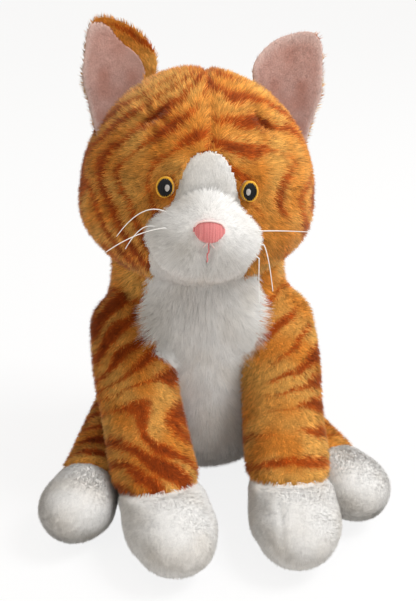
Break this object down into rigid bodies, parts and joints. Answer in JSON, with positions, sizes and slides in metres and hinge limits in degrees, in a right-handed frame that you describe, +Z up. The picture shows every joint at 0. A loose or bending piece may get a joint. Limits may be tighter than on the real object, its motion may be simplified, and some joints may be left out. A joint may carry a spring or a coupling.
{
  "type": "plush cat",
  "caption": "Seated plush cat of tabby and white pile fabric with an embroidered face and thread whiskers; its head, ears, legs and tail bend at their seams.",
  "frame": {"origin": "centre of the flat seat panel, on the surface that the cat sits on", "axes": "+Z up, -Y the way the cat faces, +X to its left side"},
  "size_m": [0.3, 0.4275, 0.405],
  "materials": {
    "tabby_plush": "rust-striped golden plush pile",
    "white_plush": "white plush pile",
    "pink_plush": "short pink pile",
    "rose_thread": "satin stitch",
    "gold_thread": "satin stitch",
    "black_thread": "satin stitch",
    "grey_thread": "satin stitch",
    "whisker_thread": "fine white thread",
    "stuffing": "loose polyester fibre"
  },
  "bodies": {
    "torso": {"torso_left_panel": "tabby_plush", "torso_right_panel": "tabby_plush", "chest_panel": "white_plush", "seat_panel": "tabby_plush", "torso_stuffing": "stuffing"},
    "neck": {"neck_stuffing": "stuffing"},
    "head": {"head_left_panel": "tabby_plush", "head_right_panel": "tabby_plush", "blaze_panel": "white_plush", "head_stuffing": "stuffing", "muzzle_panel": "white_plush", "muzzle_stuffing": "stuffing", "nose_embroidery": "rose_thread", "mouth_embroidery": "rose_thread", "left_iris": "gold_thread", "left_pupil": "black_thread", "left_glint": "grey_thread", "right_iris": "gold_thread", "right_pupil": "black_thread", "right_glint": "grey_thread", "left_whiskers": "whisker_thread", "right_whiskers": "whisker_thread"},
    "left_ear": {"left_ear_back": "tabby_plush", "left_ear_lining": "pink_plush"},
    "left_foreleg": {"left_foreleg_sleeve": "tabby_plush", "left_forepaw": "white_plush", "left_foreleg_stuffing": "stuffing"},
    "left_hind_leg": {"left_thigh": "tabby_plush", "left_hind_foot": "white_plush", "left_hind_stuffing": "stuffing"},
    "right_ear": {"right_ear_back": "tabby_plush", "right_ear_lining": "pink_plush"},
    "right_foreleg": {"right_foreleg_sleeve": "tabby_plush", "right_forepaw": "white_plush", "right_foreleg_stuffing": "stuffing"},
    "right_hind_leg": {"right_thigh": "tabby_plush", "right_hind_foot": "white_plush", "right_hind_stuffing": "stuffing"},
    "tail": {"tail_sleeve": "tabby_plush", "tail_stuffing": "stuffing"}
  },
  "joints": [
    {"name": "head_nod", "type": "hinge", "parent": "torso", "child": "neck", "pos_m": [0, -0.004, 0.14], "axis": [1, 0, 0], "range_deg": [-8, 8], "stiffness_Nm_per_rad": 4},
    {"name": "head_turn", "type": "hinge", "parent": "neck", "child": "head", "pos_m": [0, -0.004, 0.14], "axis": [0, 0, 1], "range_deg": [-25, 25], "stiffness_Nm_per_rad": 1},
    {"name": "left_ear_fold", "type": "hinge", "parent": "head", "child": "left_ear", "pos_m": [0.07493, 0.00659, 0.32423], "axis": [0.7386, -0.1108, -0.665], "range_deg": [-14, 14], "stiffness_Nm_per_rad": 0.15},
    {"name": "left_foreleg_lift", "type": "hinge", "parent": "torso", "child": "left_foreleg", "pos_m": [0.069, -0.02, 0.148], "axis": [-1, 0, 0], "range_deg": [0, 30], "stiffness_Nm_per_rad": 1},
    {"name": "left_hind_leg_swing", "type": "hinge", "parent": "torso", "child": "left_hind_leg", "pos_m": [0.064, 0.012, 0.036], "axis": [0, 0, 1], "range_deg": [0, 20], "stiffness_Nm_per_rad": 0.6},
    {"name": "right_ear_fold", "type": "hinge", "parent": "head", "child": "right_ear", "pos_m": [-0.06356, 0.01143, 0.33513], "axis": [-0.8394, -0.0557, -0.5407], "range_deg": [-14, 14], "stiffness_Nm_per_rad": 0.15},
    {"name": "right_foreleg_lift", "type": "hinge", "parent": "torso", "child": "right_foreleg", "pos_m": [-0.069, -0.02, 0.148], "axis": [-1, 0, 0], "range_deg": [0, 30], "stiffness_Nm_per_rad": 1},
    {"name": "right_hind_leg_swing", "type": "hinge", "parent": "torso", "child": "right_hind_leg", "pos_m": [-0.064, 0.012, 0.036], "axis": [0, 0, -1], "range_deg": [0, 20], "stiffness_Nm_per_rad": 0.6},
    {"name": "tail_swing", "type": "hinge", "parent": "torso", "child": "tail", "pos_m": [0, 0.062, 0.03], "axis": [0, 0, 1], "range_deg": [-25, 25], "stiffness_Nm_per_rad": 0.3}
  ]
}
